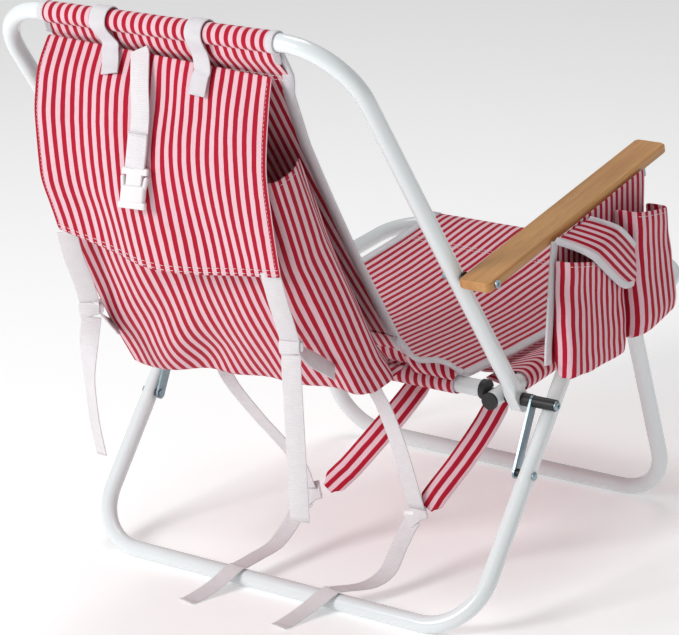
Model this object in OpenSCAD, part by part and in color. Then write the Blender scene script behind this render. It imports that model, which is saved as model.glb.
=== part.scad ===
/* [Frame tubes] */
// Outside diameter of every frame tube
tube_d = 22; // [20:0.5:25]
// Wall thickness of the frame tubes
tube_wall = 1.2; // [1:0.1:2]

/* [Widths, measured from the middle plane to a tube's centre] */
// Seat side tubes
seat_half = 238; // [232:1:239]
// Back side tubes
back_half = 264; // [264:1:266]
// Front legs
front_leg_half = 272; // [271:1:273]
// Rear legs
rear_leg_half = 304; // [304:1:306]

/* [Side view] */
// Height of the main pivot above the ground
pivot_z = 261; // [255:1:265]
// Length of the seat from the main pivot to the middle of the front rail
seat_reach = 486; // [470:1:500]
// Slope of the seat, front end up
seat_slope = 4.7; // [3:0.1:6]
// Length of the back from the main pivot to the middle of the top rail
back_reach = 626; // [600:1:650]
// Angle of the back above level
back_angle = 56; // [54:0.5:58]
// Lean of the rear legs above level
rear_lean = 51.2; // [50:0.1:52]
// Lean of the front legs above level
front_lean = 71.3; // [70:0.1:73]
// Where the front ground rail stands ahead of the main pivot
front_rail_y = -359; // [-365:1:-350]
// Distance up the rear leg from its ground rail to the link rivet
rivet_reach = 215.5; // [210:0.5:220]

/* [Bends] */
// Centre line radius of the ground rails' corners
leg_bend = 76; // [60:1:90]
// Centre line radius of the seat frame's corners
seat_bend = 76; // [60:1:90]
// Centre line radius of the back frame's corners
back_bend = 84; // [70:1:100]

/* [Armrests] */
// Length of an armrest board
arm_length = 423; // [400:1:430]
// Width of an armrest board
arm_width = 46; // [40:1:48]
// Thickness of an armrest board
arm_thick = 12.6; // [12:0.1:16]
// Slope of the armrests, front end up
arm_slope = 10.7; // [10:0.1:11.5]
// Distance from the main pivot to the armrest screw, along the back tube
arm_pivot_reach = 236; // [230:1:240]
// Distance from the armrest's rear end to its screw
arm_tail = 16.5; // [14:0.5:20]

/* [Soft parts] */
// Diameter of the fabric sleeve round a rail
sleeve_d = 27; // [26:0.5:30]
// Thickness of a plain fabric panel
cloth = 3; // [2:0.5:5]
// Width of the webbing
webbing_w = 25; // [20:1:30]
// Width of a padded shoulder strap
strap_w = 38; // [34:1:55]
// Thickness of a padded shoulder strap
strap_thick = 8; // [6:1:12]

/* [Hidden] */
$fn = 64;
tube_r = tube_d / 2;
bore_r = tube_r - tube_wall;
sleeve_r = sleeve_d / 2;
pin_r = 4;
pin_gap = 0.05;
head_h = 3;
clear = 0.3;
end = 1; // how far a cutting solid runs past the face it cuts

// flattened part of the rear legs: as seen along the leg, and lying across the chair
flat_deep = 23;
flat_wide = 19;
roller_r = 7.6;
leg_offset = flat_deep / 2 + roller_r + 0.2; // main pivot to the rear leg's centre line
flat_back_wide = 16;
flat_back_deep = 24;
tip_reach = 20; // back tube below the main pivot
seat_tail = 22; // seat tube behind the main pivot
leg_top = 12; // leg tube above the apex pin
rail_y = 10; // rear cross rail, from the main pivot
rail_z = 7;

// points in the side view, as [y, z]
function turned(p, c, a) = [c[0] + (p[0] - c[0]) * cos(a) - (p[1] - c[1]) * sin(a),
                            c[1] + (p[0] - c[0]) * sin(a) + (p[1] - c[1]) * cos(a)];
function along(a) = [cos(a), sin(a)];
function cross2(a, b) = a[0] * b[1] - a[1] * b[0];
// where the line from p along u meets the line from q along v
function meet(p, u, q, v) = p + u * (cross2(q - p, v) / cross2(u, v));

main_pivot = [0, pivot_z];
rear_dir = along(180 - rear_lean);
front_dir = along(front_lean);
seat_dir = along(180 - seat_slope);
back_dir = along(back_angle);
arm_dir = along(180 - arm_slope);
leg_foot = main_pivot - leg_offset * [sin(rear_lean), cos(rear_lean)];
rear_rail = leg_foot - rear_dir * ((leg_foot[1] - tube_r) / rear_dir[1]);
front_rail = [front_rail_y, tube_r];
leg_pivot = meet(main_pivot, seat_dir, front_rail, front_dir);
apex = meet(rear_rail, rear_dir, front_rail, front_dir);
link_pivot = rear_rail + rear_dir * rivet_reach;
link_length = norm(link_pivot - main_pivot);
front_reach = norm(apex - front_rail);
rear_reach = norm(apex - rear_rail);
top_rail = main_pivot + back_dir * back_reach;
seat_front = main_pivot + seat_dir * seat_reach;
cross_rail = main_pivot + [rail_y, rail_z];
arm_pivot = main_pivot + back_dir * arm_pivot_reach;

// places across the chair, measured outwards
seat_out = seat_half + tube_r;
seat_in = seat_half - tube_r;
back_out = back_half + tube_r;
back_in = back_half - tube_r;
link_in = rear_leg_half - flat_wide / 2 - 8.5;
link_thick = 3;
roller_len = 32;
rear_in = rear_leg_half - flat_wide / 2;
rear_out = rear_leg_half + flat_wide / 2;
front_out = front_leg_half + tube_r;
front_in = front_leg_half - tube_r;
arm_in = back_out + 2.5;
arm_out = arm_in + arm_width;
panel_out = arm_out + 4.5;

pocket_deep = 38; // large side pouch
rear_most = 377; // rearmost point of the flap's strap and buckle
// where the middle of the whole object's footprint lies, seen from the main pivot
centre_x = (arm_out + 2.4 - panel_out - cloth - pocket_deep) / 2;
centre_y = (rear_most + seat_front[0] - sleeve_r) / 2;

// the armrest turns this much for each degree the back reclines, to stay on its pin
arm_follow = 0.691;
recline_steps = [0, 4.5, 9, 13.5, 18];
// the apex pin as the armrest sees it, as [distance ahead of its screw, height below it]
function pin_at(b) = let (
    screw = turned(arm_pivot, main_pivot, -b),
    dir = along(180 - arm_slope - (1 - arm_follow) * b),
    w = apex - screw) [w * dir, cross2(dir, w)];

module place() translate([-centre_x, -centre_y, 0]) children();
// children at a side view point
module at(p, x = 0) translate([x, p[0], p[1]]) children();
// a bar across the chair at a side view point, from x0 to x1
module across(p, x0, x1, r) at(p, x0) rotate([0, 90, 0]) cylinder(r = r, h = x1 - x0);
module both_sides() { children(); mirror([1, 0, 0]) children(); }

// solid U: rail along X at the origin, legs along +Y
module u_bar(half, reach, bend, r) {
    translate([bend - half, 0, 0]) rotate([0, 90, 0]) cylinder(r = r, h = 2 * (half - bend));
    both_sides() {
        translate([half - bend, bend, 0]) rotate([0, 0, -90])
            rotate_extrude(angle = 90) translate([bend, 0]) circle(r = r);
        translate([half, bend, 0]) rotate([-90, 0, 0]) cylinder(r = r, h = reach - bend);
    }
}

// hollow U tube whose legs end open
module u_tube(half, reach, bend) difference() {
    u_bar(half, reach, bend, tube_r);
    u_bar(half, reach + end, bend, bore_r);
}

// flat oval, deep along Y and wide along X
module oval(deep, wide) {
    square([wide, deep - wide], center = true);
    for (s = [-1, 1]) translate([0, s * (deep - wide) / 2]) circle(d = wide);
}

module seat_frame() place() color("white") difference() {
    at(seat_front) rotate([-seat_slope, 0, 0]) u_tube(seat_half, seat_reach + seat_tail, seat_bend);
    for (p = [main_pivot, leg_pivot]) across(p, -seat_out - end, seat_out + end, pin_r + pin_gap);
}

module seat_rear_rail() place() color("white") difference() {
    across(cross_rail, clear - seat_in + 3, seat_in - 3 - clear, tube_r);
    across(cross_rail, -seat_in, seat_in, bore_r);
}

// cupped blocks that hold the cross rail's ends against the seat side tubes
module rail_saddles() place() color("black") both_sides() difference() {
    across(cross_rail, seat_in - 8, seat_in - clear, tube_r + 2);
    across(cross_rail, seat_in - 9, seat_in - 3, tube_r + pin_gap);
    across(main_pivot, seat_in - 9, seat_in + end, pin_r + 4);
}

module seat_end_caps() place() color("black") both_sides()
    at(main_pivot + seat_dir * -seat_tail, seat_half) rotate([-seat_slope, 0, 0]) rotate([-90, 0, 0]) {
        translate([0, 0, pin_gap]) cylinder(r = tube_r + 0.4, h = 4);
        translate([0, 0, -10]) cylinder(r = bore_r - pin_gap, h = 11);
    }

module ring(p, x0, x1, r_out, r_in) difference() {
    across(p, x0, x1, r_out);
    across(p, x0 - end, x1 + end, r_in);
}

module pivot_spacers() place() color("black") both_sides()
    ring(main_pivot, seat_out + 0.1, back_half - flat_back_wide / 2 - 0.2, 8.5, pin_r + pin_gap);

module leg_pivot_spacers() place() color("black") both_sides()
    ring(leg_pivot, seat_out + 0.1, front_in - 0.2, 8, pin_r + pin_gap);

// domed rivet across the chair from x0 to x1, heads outside both ends
module rivet(p, x0, x1, r, head_r) {
    across(p, x0, x1, r);
    for (s = [0, 1]) at(p, s ? x1 : x0) rotate([0, s ? 90 : -90, 0]) difference() {
        translate([0, 0, head_h / 2 - head_r * 1.2]) sphere(r = head_r * 1.45);
        translate([0, 0, -4 * head_r]) cylinder(r = 3 * head_r, h = 4 * head_r);
        difference() {
            translate([0, 0, -end]) cylinder(r = 3 * head_r, h = 3 * head_r);
            translate([0, 0, -2 * end]) cylinder(r = head_r, h = 4 * head_r);
        }
    }
}

module leg_pivot_rivets() place() color("silver") both_sides()
    rivet(leg_pivot, seat_in - 0.2, front_out + 0.2, pin_r, 7);

// main pivot bolt: cross head outside, dome nut inside
module pivot_bolts() place() color("silver") both_sides() difference() {
    union() {
        across(main_pivot, seat_in - 3, link_in + roller_len + 4, pin_r);
        across(main_pivot, seat_in - 3, seat_in - 0.2, 7);
        at(main_pivot, link_in + link_thick + roller_len + 0.4) rotate([0, 90, 0]) {
            cylinder(r = 6.6, h = 1.6);
            translate([0, 0, 1.6]) cylinder(r1 = 6.6, r2 = 4.6, h = 2);
        }
    }
    for (a = [0, 90]) at(main_pivot, link_in + link_thick + roller_len + 3) rotate([a, 0, 0])
        cube([4, 6, 1.4], center = true);
}

module pivot_washers() place() color("black") both_sides()
    ring(main_pivot, back_half + flat_back_wide / 2 + 0.2, link_in - 0.2, 8.5, pin_r + pin_gap);

module stop_rollers() place() color("black") both_sides()
    ring(main_pivot, link_in + link_thick + 0.2, link_in + link_thick + roller_len + 0.2,
        roller_r, pin_r + pin_gap);

// flattened, round-ended foot of a back side tube, along -Y from the origin
module back_foot() {
    hull() {
        rotate([-90, 0, 0]) cylinder(r = tube_r - 0.05, h = 1, $fn = 32);
        translate([0, -17, 0]) cube([flat_back_wide, 1, flat_back_deep - 1], center = true);
    }
    translate([0, -28, 0]) cube([flat_back_wide, 22.5, flat_back_deep - 1], center = true);
    translate([-flat_back_wide / 2, -39, 0]) rotate([0, 90, 0]) cylinder(d = flat_back_deep, h = flat_back_wide);
}

foot_start = 31; // the foot's upper end, above the main pivot
module back_frame() place() color("white") difference() {
    union() {
        at(top_rail) rotate([180 + back_angle, 0, 0]) u_tube(back_half, back_reach - foot_start, back_bend);
        both_sides() at(main_pivot + back_dir * foot_start, back_half) rotate([back_angle, 0, 0]) back_foot();
    }
    across(main_pivot, -back_out - end, back_out + end, pin_r + pin_gap);
    across(arm_pivot, -back_out - end, back_out + end, 3 + pin_gap);
}

module arm_washers() place() color("black") both_sides()
    ring(arm_pivot, back_out + 0.1, arm_in - 0.1, 8, 3 + pin_gap);

module arm_screws() place() color("silver") both_sides() difference() {
    union() {
        across(arm_pivot, back_in - 5, arm_out + 1, 3);
        across(arm_pivot, back_in - 5, back_in - 0.2, 5.5);
        across(arm_pivot, arm_out + 0.2, arm_out + 2.4, 5.2);
    }
    for (a = [0, 90]) at(arm_pivot, arm_out + 2.4) rotate([a, 0, 0]) cube([2, 5, 1.1], center = true);
}

// one rounded corner of a board: a disc with its edges taken off
module board_corner(r, ease) {
    translate([0, 0, ease - arm_thick / 2]) cylinder(r = r, h = arm_thick - 2 * ease, $fn = 32);
    for (s = [-1, 1]) scale([1, 1, s]) translate([0, 0, arm_thick / 2 - ease - 0.01])
        cylinder(r1 = r, r2 = r - ease, h = ease, $fn = 32);
}

module armrest() color("burlywood") difference() {
    at(arm_pivot) rotate([-arm_slope, 0, 0]) hull()
        for (x = [arm_in + 8, arm_out - 8], y = [arm_tail - 8, arm_tail - arm_length + 8])
            translate([x, y, 0]) board_corner(8, 2.2);
    across(arm_pivot, arm_in - end, arm_out + end, 3 + pin_gap);
}
module armrest_right() place() mirror([1, 0, 0]) armrest();
module armrest_left() place() armrest();

// notched plate under each armrest that drops over the apex pin
rack_thick = 4;
rack_in = (front_out + rear_in - rack_thick) / 2;
tooth = 3;
notch = 1.6; // height of each notch above the pin's path
function rack_top(b) = [-pin_at(b)[0], -pin_at(b)[1] + pin_r + clear];
module notched_racks() place() color("silver") both_sides()
    at(arm_pivot, rack_in) rotate([-arm_slope, 0, 0]) rotate([90, 0, 90]) linear_extrude(rack_thick)
    difference() {
        translate([-pin_at(18)[0] - 9, -pin_at(0)[1] - tooth])
            square([pin_at(18)[0] - pin_at(0)[0] + 21, pin_at(0)[1] + tooth - arm_thick / 2 - 0.1]);
        for (b = recline_steps) translate([-pin_at(b)[0], -pin_at(b)[1] + notch]) circle(r = pin_r + clear);
        polygon(concat([[rack_top(18)[0] - pin_r - clear, rack_top(18)[1] - 30], rack_top(18) - [pin_r + clear, 0]],
                       [for (b = [18 : -1 : 0]) rack_top(b)],
                       [rack_top(0) + [20, 0], rack_top(0) + [20, -30]]));
    }

module link_bar() difference() {
    union() {
        for (p = [main_pivot, link_pivot]) across(p, link_in, link_in + link_thick, 8);
        at(main_pivot, link_in) rotate([atan2(link_pivot[1] - main_pivot[1], link_pivot[0] - main_pivot[0]), 0, 0])
            translate([0, 0, -7.7]) cube([link_thick, link_length, 15.4]);
    }
    across(main_pivot, link_in - end, link_in + link_thick + end, pin_r + pin_gap);
    across(link_pivot, link_in - end, link_in + link_thick + end, 3 + pin_gap);
}
module links() place() color("slategray") both_sides() link_bar();

module link_end_rivets() place() color("silver") both_sides() {
    across(link_pivot, link_in - 0.1, rear_in - 0.1, 3);
    across(link_pivot, link_in - 1.9, link_in - 0.1, 5.5);
}

module link_washers() place() color("black") both_sides()
    ring(link_pivot, link_in + link_thick + 0.2, rear_in - 0.6, 5.4, 3 + pin_gap);

module link_leg_rivets() place() color("silver") both_sides() {
    across(link_pivot, rear_in + 0.1, rear_out + 1, 3);
    at(link_pivot, rear_out + 0.6) rotate([0, 90, 0]) {
        cylinder(r = 5.5, h = 1);
        translate([0, 0, 1]) cylinder(r1 = 5.5, r2 = 3.4, h = 1.6);
    }
}

module front_leg_frame() place() color("white") difference() {
    at(front_rail) rotate([front_lean, 0, 0]) u_tube(front_leg_half, front_reach + leg_top, leg_bend);
    for (p = [leg_pivot, apex]) across(p, -front_out - end, front_out + end, pin_r + pin_gap);
}

flat_start = rivet_reach - 14; // where the flattening of a rear leg begins
flat_turn = 10; // how long the change of section is
module rear_flat(grow) {
    translate([0, flat_start + flat_turn, 0]) rotate([-90, 0, 0])
        linear_extrude(rear_reach + leg_top - flat_start - flat_turn + (grow < 0 ? end : 0))
        oval(flat_deep + 2 * grow, flat_wide + 2 * grow);
    hull() {
        translate([0, flat_start + (grow < 0 ? -0.2 : 0), 0]) rotate([-90, 0, 0])
            cylinder(r = tube_r + grow, h = 0.2, $fn = 32);
        translate([0, flat_start + flat_turn, 0]) rotate([-90, 0, 0])
            linear_extrude(0.2) oval(flat_deep + 2 * grow, flat_wide + 2 * grow, $fn = 32);
    }
}
module rear_leg_frame() place() color("white") difference() {
    at(rear_rail) rotate([180 - rear_lean, 0, 0]) difference() {
        union() {
            u_bar(rear_leg_half, flat_start, leg_bend, tube_r);
            both_sides() translate([rear_leg_half, 0, 0]) rear_flat(0);
        }
        u_bar(rear_leg_half, flat_start, leg_bend, bore_r);
        both_sides() translate([rear_leg_half, 0, 0]) rear_flat(-tube_wall);
    }
    across(link_pivot, -rear_out - end, rear_out + end, 3 + pin_gap);
    across(apex, -rear_out - end, rear_out + end, pin_r + pin_gap);
}

module front_leg_plugs() place() color("black") both_sides()
    at(front_rail + front_dir * (front_reach + leg_top), front_leg_half) rotate([front_lean, 0, 0])
        rotate([-90, 0, 0]) {
            translate([0, 0, pin_gap]) cylinder(r = tube_r - 0.2, h = 2.5);
            translate([0, 0, -5]) cylinder(r = bore_r - pin_gap, h = 6);
        }

module rear_leg_plugs() place() color("black") both_sides()
    at(rear_rail + rear_dir * (rear_reach + leg_top), rear_leg_half) rotate([180 - rear_lean, 0, 0])
        rotate([-90, 0, 0]) {
            translate([0, 0, pin_gap]) linear_extrude(2.5) oval(flat_deep - 0.4, flat_wide - 0.4);
            translate([0, 0, -5]) linear_extrude(6)
                oval(flat_deep - 2 * tube_wall - 0.2, flat_wide - 2 * tube_wall - 0.2);
        }

// pin that each armrest's rack rests on, fast in the front leg
module apex_pins() place() color("silver") both_sides() {
    across(apex, front_in - 0.1, rear_in - 0.4, pin_r);
    across(apex, front_in - 2.2, front_in - 0.2, 7);
}

module apex_heads() place() color("silver") both_sides() {
    across(apex, rear_in + 0.2, rear_out + 1, pin_r);
    across(apex, rear_out + 0.2, rear_out + 2.4, 7);
}

// ---- fabric, as plain solids ----

// a strip across the chair: side view outline from x0 to x1
module strip(outline, x0, x1) translate([x0, 0, 0]) rotate([90, 0, 90]) linear_extrude(x1 - x0)
    polygon(outline);

// ring of cloth round a rail
module sleeve(p, x0, x1) difference() {
    across(p, x0, x1, sleeve_r);
    across(p, x0 - end, x1 + end, tube_r + clear);
}

sling_top = 174; // half width at the top rail
sling_low = 120; // half width above the cross rail
back_normal = along(back_angle - 90); // rearwards and down from the back
module back_sling() place() color("crimson") {
    sleeve(top_rail, -sling_top, sling_top);
    at(main_pivot + back_normal * (10 + cloth)) rotate([back_angle, 0, 0]) linear_extrude(cloth)
        polygon([[-sling_low, 56], [sling_low, 56], [sling_low + 34, 540], [sling_top, back_reach - 6],
                 [-sling_top, back_reach - 6], [-sling_low - 34, 540]]);
}

// seat cloth from the front rail to the cross rail, sagging in the middle
seat_cloth = 190; // half width
sag = 20;
function seat_line(t) = (1 - t) * (seat_front + [0, tube_r + 0.6]) + t * (cross_rail + [0, tube_r + 0.6])
    - [0, sag * sin(180 * t)];
sag_steps = 12;
module seat_sling() place() color("crimson") {
    strip(concat([for (i = [0 : sag_steps]) seat_line(i / sag_steps)],
                 [for (i = [sag_steps : -1 : 0]) seat_line(i / sag_steps) + [0, cloth]]),
          -seat_cloth, seat_cloth);
    sleeve(seat_front, -seat_cloth + 30, seat_cloth - 30);
    sleeve(cross_rail, -seat_cloth + 8, seat_cloth - 8);
}

// under-panels that wrap the seat side tubes between the pivots
module seat_side_sleeves() place() color("crimson") both_sides()
    at(main_pivot + seat_dir * 232, seat_half) rotate([-seat_slope, 0, 0]) rotate([-90, 0, 0]) difference() {
        cylinder(r = sleeve_r, h = 186);
        translate([0, 0, -end]) cylinder(r = tube_r + clear, h = 190);
    }

pouch_left = 190;
pouch_right = -150;
pouch_out = [[72, 322], [172, 290], [304, 494], [338, 606], [262, 624]];
pouch_in = [[78, 326], [170, 295], [300, 496], [334, 640], [266, 640]];
module storage_pouch() place() color("crimson") difference() {
    strip(pouch_out, pouch_right, pouch_left);
    strip(pouch_in, pouch_right + cloth, pouch_left - cloth);
}

flap_line = [[346, 748], [360, 704], [366, 640], [357, 565], [342, 498]];
module pouch_flap() place() color("crimson")
    strip(concat([for (p = flap_line) p], [for (i = [4 : -1 : 0]) flap_line[i] + [cloth, 0]]), -154, 168);

// flat band through side view points, each as [x, y, z], its width across the chair
module band(points, wide, thick) for (i = [0 : len(points) - 2]) hull()
    for (p = [points[i], points[i + 1]]) translate(p - [wide / 2, 0, 0]) rotate([0, 90, 0])
        cylinder(d = thick, h = wide, $fn = 8);

strap_x = 27; // flap's own strap and buckle
module flap_strap() place() color("white")
    band([[30, 354, 756], [25, 370, 704], [22, 376, 650], [25, 373, 602]], webbing_w, 2);
module flap_buckle() place() color("white")
    translate([strap_x - 20, 366, 540]) cube([40, 11, 58]);

module rail_loops() place() color("white") for (x = [82, -66])
    band([[x, 338, 796], [x, 350, 797], [x, 364, 790], [x, 367, 772], [x, 362, 748], [x, 370, 706]],
        webbing_w - 3, 2);

closure_left = [180, 292, 388]; // the left closure slider
closure_right = [-117, 270, 383];
module closure_webbing() place() color("white") {
    band([[160, 352, 506], [168, 326, 446], closure_left + [0, 4, 10]], webbing_w, 2);
    band([closure_left + [0, -7, -2], [186, 256, 360], [188, 236, 345]], webbing_w, 2);
    band([[-137, 325, 492], [-127, 299, 438], closure_right + [0, 4, 10]], webbing_w, 2);
    band([closure_right + [0, -7, -2], [-130, 240, 358], [-136, 216, 340]], webbing_w, 2);
}
module closure_sliders() place() color("white") for (p = [closure_left, closure_right])
    translate(p - [webbing_w / 2 + 3, 5, 8]) cube([webbing_w + 6, 9, 16]);

// routes of the hanging ends
route_closure_left = [[180, 293, 377], [184, 295, 350], [188, 294, 320], [191, 291, 285], [188, 290, 237], [180, 289, 191]];
route_closure_right = [[-117, 271, 372], [-118, 273, 350], [-118, 272, 320], [-119, 271, 240], [-120, 270, 155]];
module closure_tail_left() place() color("white") band(route_closure_left, webbing_w, 2);
module closure_tail_right() place() color("white") band(route_closure_right, webbing_w, 2);

route_strap_left = [[-106, -6, 244], [-82, 4, 210], [-23, 20, 135], [-4, 24, 114], [18, 29, 91]];
route_strap_right = [[-220, -19, 241], [-208, -8, 209], [-182, 8, 162], [-157, 26, 121], [-142, 30, 97]];
module shoulder_strap_left() place() color("crimson") band(route_strap_left, strap_w, strap_thick);
module shoulder_strap_right() place() color("crimson") band(route_strap_right, strap_w, strap_thick);

slider_left = [40, 38, 82];
slider_right = [-128, 36, 88];
module strap_sliders() place() color("white") for (p = [slider_left, slider_right])
    translate(p - [webbing_w / 2 + 3, 6, 5]) cube([webbing_w + 6, 12, 10]);

route_webbing_left = [[42, 39, 89], [54, 44, 126], [70, 60, 159], [91, 85, 202], [113, 110, 254], [122, 118, 299]];
route_webbing_right = [[-131, 37, 96], [-123, 60, 183], [-116, 80, 242], [-110, 96, 277], [-107, 101, 307]];
module strap_webbing_left() place() color("white")
    band(route_webbing_left, webbing_w, 2);
module strap_webbing_right() place() color("white")
    band(route_webbing_right, webbing_w, 2);

route_tail_left = [[42, 42, 74], [48, 54, 64], [51, 76, 43], [51, 105, 30], [54, 138, 26], [55, 172, 24.8],
                   [57, 184, 24.2], [65, 215, 10], [73, 248, 2], [76, 262, 2]];
route_tail_right = [[-126, 41, 80], [-124, 50, 70], [-123, 70, 50], [-125, 98, 28], [-117, 130, 20],
                    [-99, 170, 24.8], [-94, 182, 24.6], [-81, 215, 9], [-75, 248, 2], [-73, 262, 2]];
module strap_tail_left() place() color("white") band(route_tail_left, webbing_w, 2);
module strap_tail_right() place() color("white") band(route_tail_right, webbing_w, 2);

// side pouches on the right armrest; outlines are in the side view
module side_pouch_panel() place() color("crimson")
    strip([[10, 478], [28, 324], [-60, 306], [-200, 306], [-205, 519]], -panel_out - cloth, -panel_out);

// open-topped pocket standing out from the panel
module pocket(outer, inner, out) difference() {
    strip(outer, -panel_out - cloth - out, -panel_out - cloth - clear);
    strip(inner, -panel_out - cloth - out + 2, -panel_out - cloth - clear - 2);
}
module small_side_pouch() place() color("crimson")
    pocket([[14, 452], [22, 330], [5, 302], [-118, 303], [-121, 428]],
           [[12, 480], [20, 331], [4, 305], [-115, 306], [-118, 480]], 26);
module large_side_pouch() place() color("crimson")
    pocket([[-124, 486], [-123, 326], [-150, 326], [-216, 344], [-198, 476]],
           [[-127, 510], [-126, 329], [-150, 329], [-213, 347], [-195, 510]], pocket_deep);
flap_fold = [[6, 476], [-66, 487]]; // corded fold the flap turns about
module side_pouch_flap() place() color("crimson") {
    strip([flap_fold[0], [-40, 452], [-100, 398], [-118, 396], [-118, 462], [-112, 470], flap_fold[1]],
          -panel_out - 34, -panel_out - 31);
    at(flap_fold[0], -panel_out - 32.5)
        rotate([atan2(flap_fold[0][0] - flap_fold[1][0], flap_fold[1][1] - flap_fold[0][1]), 0, 0])
            cylinder(r = 1.8, h = norm(flap_fold[1] - flap_fold[0]));
}

seat_frame();
seat_rear_rail();
rail_saddles();
seat_end_caps();
pivot_spacers();
leg_pivot_spacers();
leg_pivot_rivets();
pivot_bolts();
pivot_washers();
stop_rollers();
back_frame();
arm_washers();
arm_screws();
armrest_right();
armrest_left();
notched_racks();
links();
link_end_rivets();
link_leg_rivets();
link_washers();
front_leg_frame();
rear_leg_frame();
front_leg_plugs();
rear_leg_plugs();
apex_pins();
apex_heads();
back_sling();
seat_sling();
seat_side_sleeves();
storage_pouch();
pouch_flap();
flap_strap();
flap_buckle();
rail_loops();
closure_webbing();
closure_sliders();
closure_tail_left();
closure_tail_right();
shoulder_strap_left();
shoulder_strap_right();
strap_webbing_left();
strap_webbing_right();
strap_sliders();
strap_tail_left();
strap_tail_right();
side_pouch_panel();
small_side_pouch();
side_pouch_flap();
large_side_pouch();
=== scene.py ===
import math
import random

import bpy
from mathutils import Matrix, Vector, noise


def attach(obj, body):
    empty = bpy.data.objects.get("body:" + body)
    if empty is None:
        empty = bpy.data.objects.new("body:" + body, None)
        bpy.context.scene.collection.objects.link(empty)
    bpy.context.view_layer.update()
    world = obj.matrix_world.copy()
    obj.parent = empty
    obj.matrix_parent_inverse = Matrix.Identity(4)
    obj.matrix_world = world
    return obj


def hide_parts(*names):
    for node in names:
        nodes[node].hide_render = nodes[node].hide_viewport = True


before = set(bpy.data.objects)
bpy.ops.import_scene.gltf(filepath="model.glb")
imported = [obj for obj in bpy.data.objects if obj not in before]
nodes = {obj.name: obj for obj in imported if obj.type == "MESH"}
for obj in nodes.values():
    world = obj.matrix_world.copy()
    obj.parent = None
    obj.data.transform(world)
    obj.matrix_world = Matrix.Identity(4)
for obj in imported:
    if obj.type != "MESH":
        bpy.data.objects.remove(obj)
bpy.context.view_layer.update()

# lengths below are in millimetres from the chair's middle plane, its main pivot and the ground
originX, originY, pivotZ = -21.55, -60.433, 261.0
backAngle = math.radians(56)
seatAngle = math.radians(4.7)


def pt(x, y, z):
    return Vector(((x - originX) / 1000, (y - originY) / 1000, z / 1000))


def onBack(x, s, off):
    ca, sa = math.cos(backAngle), math.sin(backAngle)
    return pt(x, s * ca + off * sa, pivotZ + s * sa - off * ca)


def mix(a, b, t):
    return a + (b - a) * t


def smooth(t):
    t = min(max(t, 0.0), 1.0)
    return t * t * (3 - 2 * t)


def along(table, t):
    for (t0, v0), (t1, v1) in zip(table, table[1:]):
        if t <= t1:
            k = (t - t0) / (t1 - t0)
            return mix(v0, v1, min(max(k, 0.0), 1.0))
    return table[-1][1]


def spline(points, steps):
    pts = [Vector(p) for p in points]
    ext = [2 * pts[0] - pts[1]] + pts + [2 * pts[-1] - pts[-2]]
    out = []
    for i in range(1, len(ext) - 2):
        a, b, c, d = ext[i - 1:i + 3]
        for k in range(steps):
            t = k / steps
            out.append(0.5 * (2 * b + (c - a) * t + (2 * a - 5 * b + 4 * c - d) * t * t
                              + (3 * b - a - 3 * c + d) * t ** 3))
    out.append(pts[-1])
    return out


# ---- camera ----

camera = dict(at=(-2263.66, 3044.99, 1564.25), azimuth=216.76, elevation=18.11, roll=-1.9, lens=162.88)


def makeCamera():
    az, el = math.radians(camera["azimuth"]), math.radians(camera["elevation"])
    ahead = Vector((-math.sin(az) * math.cos(el), math.cos(az) * math.cos(el), -math.sin(el)))
    right = Vector((math.cos(az), math.sin(az), 0))
    up = right.cross(ahead)
    r = math.radians(camera["roll"])
    right2 = right * math.cos(r) + up * math.sin(r)
    up2 = up * math.cos(r) - right * math.sin(r)
    data = bpy.data.cameras.new("camera")
    data.lens = camera["lens"]
    data.sensor_width = 36
    data.clip_end = 60
    obj = bpy.data.objects.new("camera", data)
    bpy.context.collection.objects.link(obj)
    m = obj.matrix_world.copy()
    for i in range(3):
        m[i][0], m[i][1], m[i][2] = right2[i], up2[i], -ahead[i]
    m.translation = pt(*camera["at"])
    obj.matrix_world = m
    bpy.context.scene.camera = obj
    return obj


makeCamera()
print("camera set")

# ---- materials ----


class Nodes:
    def __init__(self, tree):
        self.tree = tree

    def add(self, kind, **values):
        node = self.tree.nodes.new(kind)
        for k, v in values.items():
            setattr(node, k, v)
        return node

    def link(self, a, b):
        self.tree.links.new(a, b)

    def math(self, op, a, b=None, c=None, clamp=False):
        node = self.add("ShaderNodeMath", operation=op, use_clamp=clamp)
        for i, v in enumerate((a, b, c)):
            if v is None:
                continue
            if isinstance(v, (int, float)):
                node.inputs[i].default_value = v
            else:
                self.link(v, node.inputs[i])
        return node.outputs[0]

    def ramp(self, value, low, high):
        node = self.add("ShaderNodeMapRange", clamp=True)
        node.interpolation_type = "SMOOTHSTEP"
        node.inputs["From Min"].default_value = low
        node.inputs["From Max"].default_value = high
        self.link(value, node.inputs["Value"])
        return node.outputs[0]

    def noise(self, vector, scale, detail=3.0, rough=0.5):
        node = self.add("ShaderNodeTexNoise")
        node.inputs["Scale"].default_value = scale
        node.inputs["Detail"].default_value = detail
        node.inputs["Roughness"].default_value = rough
        if vector is not None:
            self.link(vector, node.inputs["Vector"])
        return node.outputs["Fac"]

    def color(self, fac, a, b):
        node = self.add("ShaderNodeMix", data_type="RGBA")
        self.link(fac, node.inputs["Factor"])
        for socket, v in ((node.inputs[6], a), (node.inputs[7], b)):
            if isinstance(v, tuple):
                socket.default_value = (*v, 1)
            else:
                self.link(v, socket)
        return node.outputs[2]

    def bump(self, height, strength, distance, normal=None):
        node = self.add("ShaderNodeBump")
        node.inputs["Strength"].default_value = strength
        node.inputs["Distance"].default_value = distance
        self.link(height, node.inputs["Height"])
        if normal is not None:
            self.link(normal, node.inputs["Normal"])
        return node.outputs[0]


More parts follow.
